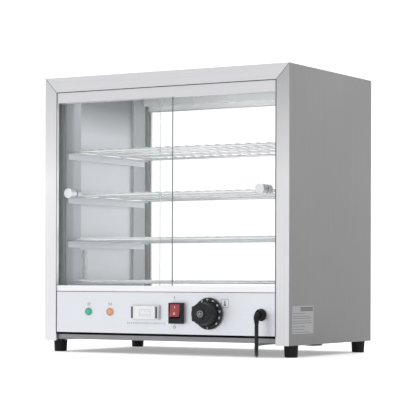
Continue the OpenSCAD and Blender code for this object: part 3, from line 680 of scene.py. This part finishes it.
# ---------------------------------------------------------------- thermometer
GX, GZ = -35.3, 57.4
g1 = rbox("gauge_frame", tuple(P(GX - 31, -5.4, GZ - 13.8)), tuple(P(GX + 31, 1, GZ + 13.8)), "gauge_grey", "case", 2.2, 4)
g1b = rbox("gauge_back", tuple(P(GX - 26, 0.9, GZ - 10)), tuple(P(GX + 26, 22, GZ + 10)), "black_plastic", "case", 1.0, 2)
g2 = rbox("gauge_recess", tuple(P(GX - 30.2, -5.8, GZ - 11.2)), tuple(P(GX + 28.9, -3, GZ + 10.8)), "dark_recess", "case", 0.6, 2)
g3 = rbox("gauge_face", tuple(P(GX - 24.6, -8.0, GZ - 13.2)), tuple(P(GX + 24.6, -4, GZ + 13.2)), "white_scale", "case", 1.4, 4)
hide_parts("thermometer_case")
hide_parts("thermometer_scale", "thermometer_lens")
lines = []
for (x0, z0, x1, z1) in ((-44.6, 63.0, -19.0, 63.5), (-44.6, 50.4, -19.0, 50.9), (-44.6, 50.4, -44.1, 63.5), (-19.4, 50.4, -19.0, 63.5)):
    lines.append(rbox("gl", tuple(P(x0, -8.03, z0)), tuple(P(x1, -7.9, z1)), "print_faint", "case", 0))
for i in range(9):
    x = -42.6 + i * 2.7
    lines.append(rbox("gl", tuple(P(x, -8.03, 52.4)), tuple(P(x + 0.5, -7.9, 52.4 + (3.4 if i % 2 == 0 else 2.0))), "print_faint", "case", 0))
join("gauge_lines", lines)
figs = [printed("gf", t, 3.6, "print_faint", "case", P(x, -7.98, 59.6), (1, 0, 0), (0, 0, 1)) for t, x in (("0", -40.2), ("50", -32.0), ("99", -23.8))]
join("gauge_figures", figs)
rim = [rbox("gr", tuple(P(GX - 24.0, -8.02, 69.4)), tuple(P(GX + 24.0, -7.9, 69.9)), "print_faint", "case", 0),
       rbox("gr", tuple(P(GX - 21.0, -8.02, 46.0)), tuple(P(GX - 20.6, -7.9, 68.0)), "print_faint", "case", 0)]
join("gauge_rim", rim)


# ---------------------------------------------------------------- printed signs on the panel
def sign(name, parts):
    return join(name, parts)


def pbox(x0, z0, x1, z1):
    return rbox("pb", tuple(P(x0, 0.90, z0)), tuple(P(x1, 1.02, z1)), "print_dark", "case", 0)


# power: an open ring with a stroke
sign("sign_power", [flat_ring("r", -166.0, 72.0, 2.3, 3.2, 0.90, 1.02, "print_dark", "case", 32, 70), pbox(-166.5, 72.0, -165.5, 75.8)])
# heat: three wavy strokes
waves = []
for i in (-1, 0, 1):
    vs, fs = [], []
    for k in range(17):
        z = 69.6 + 5.2 * k / 16
        x = -117.0 + i * 3.2 + 0.55 * math.sin(2 * math.pi * k / 16)
        for dx in (-0.5, 0.5):
            for y in (0.90, 1.02):
                vs.append(P(x + dx, y, z))
    for k in range(16):
        b = 4 * k
        for p_, q_ in ((0, 1), (1, 3), (3, 2), (2, 0)):
            fs.append((b + p_, b + q_, b + 4 + q_, b + 4 + p_))
    waves.append(obj_from("w", vs, fs, "print_dark", "case", False))
sign("sign_heat", waves)
# on and off
sign("sign_on", [pbox(27.2, 83.2, 28.4, 88.4)])
sign("sign_off", [flat_ring("r", 27.7, 30.6, 1.9, 2.9, 0.90, 1.02, "print_dark", "case", 32, 0)])
# a plain row of ticks under the thermometer
sign("sign_ticks", [pbox(-77.0 + 4.15 * i, 35.2 - (0.8 if i % 5 == 0 else 0), -76.1 + 4.15 * i, 38.4 + (0.8 if i % 5 == 0 else 0)) for i in range(21)])
# a small thermometer in a rounded frame
tx, tz = 136.4, 75.9
fr = []
for (x0, z0, x1, z1) in ((-6.2, 7.4, 6.2, 8.0), (-6.2, -8.0, 6.2, -7.4), (-7.8, -6.4, -7.2, 6.4), (7.2, -6.4, 7.8, 6.4)):
    fr.append(pbox(tx + x0, tz + z0, tx + x1, tz + z1))
for sx, sz_, a0 in ((1, 1, 0), (-1, 1, 90), (-1, -1, 180), (1, -1, 270)):
    vs, fs = [], []
    for k in range(9):
        a = math.radians(a0 + 90 * k / 8)
        for r in (1.0, 1.6):
            for y in (0.90, 1.02):
                vs.append(P(tx + sx * 6.2 + r * math.cos(a), y, tz + sz_ * 6.4 + r * math.sin(a)))
    for k in range(8):
        b = 4 * k
        for p_, q_ in ((0, 1), (1, 3), (3, 2), (2, 0)):
            fs.append((b + p_, b + q_, b + 4 + q_, b + 4 + p_))
    fr.append(obj_from("c", vs, fs, "print_dark", "case", False))
fr.append(pbox(tx - 1.0, tz - 2.4, tx + 1.0, tz + 5.0))
fr.append(flat_ring("b", tx, tz - 3.4, 0.05, 2.1, 0.90, 1.02, "print_dark", "case", 24, 0))
sign("sign_thermometer", fr)

# ---------------------------------------------------------------- plain rulings on the rating plate
def side_box(y0, z0, y1, z1, mat):
    return rbox("sb", (0.26995, (y0 + Y0) * MM, (z0 + Z0) * MM), (0.27002, (y1 + Y0) * MM, (z1 + Z0) * MM), mat, "case", 0)


rules = [side_box(46, 62.4, 95, 63.6, "print_plate"), side_box(46, 64.2, 95, 67.6, "print_plate2"), side_box(46, 68.2, 95, 69.6, "print_plate")]
rules2 = []
for z, y1 in ((57.5, 62), (52.5, 84), (49.0, 92), (43.8, 88), (40.2, 92), (33.6, 64), (28.6, 60), (23.4, 80)):
    rules2.append(side_box(17, z, y1, z + 0.9, "print_plate2"))
join("plate_rules", rules2)
join("plate_head", [rules[0], rules[2]])

# ---------------------------------------------------------------- shadow gaps where the folded sheets meet
def strip(name, a, b, w, y0=-0.03, y1=0.25, mat="seam"):
    """A thin dark strip on the front face from a to b (x, z in mm), w wide."""
    va, vb = Vector((a[0], a[1])), Vector((b[0], b[1]))
    d = (vb - va).normalized()
    n_ = Vector((-d.y, d.x)) * w / 2
    vs = []
    for y in (y0, y1):
        for q in (va + n_, va - n_, vb - n_, vb + n_):
            vs.append(P(q.x, y, q.y))
    fs = [(0, 1, 2, 3), (4, 5, 6, 7), (0, 1, 5, 4), (1, 2, 6, 5), (2, 3, 7, 6), (3, 0, 4, 7)]
    return obj_from(name, vs, fs, mat, "case", False)


strip("seam_panel", (-243, 95.9), (243, 95.9), 0.9)
join("seams_mitre", [strip("s", (-269.6, 511.6), (-243.4, 483.4), 0.8), strip("s", (269.6, 511.6), (243.4, 483.4), 0.8)])
join("seams_frame", [strip("s", (-243.2, 482.9), (243.2, 482.9), 1.3), strip("s", (-243.1, 483), (-243.1, 17), 1.0), strip("s", (242.7, 483), (242.7, 17), 1.9)])


# ---------------------------------------------------------------- stage and light
def stage_plane(name, verts, mat):
    me = bpy.data.meshes.new(name)
    me.from_pydata(verts, [], [(0, 1, 2, 3)])
    o = bpy.data.objects.new(name, me)
    scene.collection.objects.link(o)
    me.materials.append(mat)
    return o


floor_mat, nt, bs = new_mat("floor_paint")
link(nt, ramp(nt, noise(nt, 2.0, 2.0), [(0.3, (0.80, 0.80, 0.80)), (0.7, (0.82, 0.82, 0.82))]), bs.inputs["Base Color"])
bs.inputs["Roughness"].default_value = 0.7
bs.inputs["Specular IOR Level"].default_value = 0.2
bs.inputs["Emission Color"].default_value = (1, 1, 1, 1)
bs.inputs["Emission Strength"].default_value = 0.34
stage_plane("floor", [(-30, -30, 0), (30, -30, 0), (30, 30, 0), (-30, 30, 0)], floor_mat)

world = bpy.data.worlds.new("studio")
scene.world = world
world.use_nodes = True
wn = world.node_tree
bg = wn.nodes["Background"]
tc = wn.nodes.new("ShaderNodeTexCoord")
dot = wn.nodes.new("ShaderNodeVectorMath"); dot.operation = "DOT_PRODUCT"
dot.inputs[1].default_value = (0.80, 0.58, 0.10)
wn.links.new(tc.outputs["Generated"], dot.inputs[0])
half = wn.nodes.new("ShaderNodeMapRange")
half.inputs["From Min"].default_value = -1
half.inputs["From Max"].default_value = 1
wn.links.new(dot.outputs["Value"], half.inputs["Value"])
wr = wn.nodes.new("ShaderNodeValToRGB")
wn.links.new(half.outputs["Result"], wr.inputs["Fac"])
for p_, c_ in ((0.0, 0.84), (0.22, 0.84), (0.40, 1.0), (0.66, 1.0), (0.88, 0.38), (1.0, 0.34)):
    el = wr.color_ramp.elements.new(p_) if p_ not in (0.0, 1.0) else wr.color_ramp.elements[int(p_ > 0) * (len(wr.color_ramp.elements) - 1)]
    el.position = p_
    el.color = (c_, c_, c_ * 1.005, 1)
wn.links.new(wr.outputs["Color"], bg.inputs["Color"])
bg.inputs["Strength"].default_value = 1.2


def area(name, loc, target, size, power, col=(1, 1, 1)):
    ld = bpy.data.lights.new(name, "AREA")
    ld.shape = "RECTANGLE"
    ld.size, ld.size_y = size
    ld.energy = power
    ld.color = col
    o = bpy.data.objects.new(name, ld)
    scene.collection.objects.link(o)
    o.location = loc
    d = Vector(target) - Vector(loc)
    o.rotation_euler = d.to_track_quat("-Z", "Y").to_euler()
    return o


area("overhead", (0.2, 0.2, 3.2), (0, 0, 0), (3.2, 3.2), 34)
area("inside", (0.0, -0.098, 0.492), (0.0, 0.17, 0.44), (0.44, 0.02), 0.15)
area("rear", (0.13, 0.62, 0.32), (-0.25, 0.0, 0.27), (0.42, 0.42), 0.55)
scene.view_settings.view_transform = "Standard"
scene.view_settings.look = "None"
scene.view_settings.exposure = 0.0
scene.view_settings.gamma = 1.0
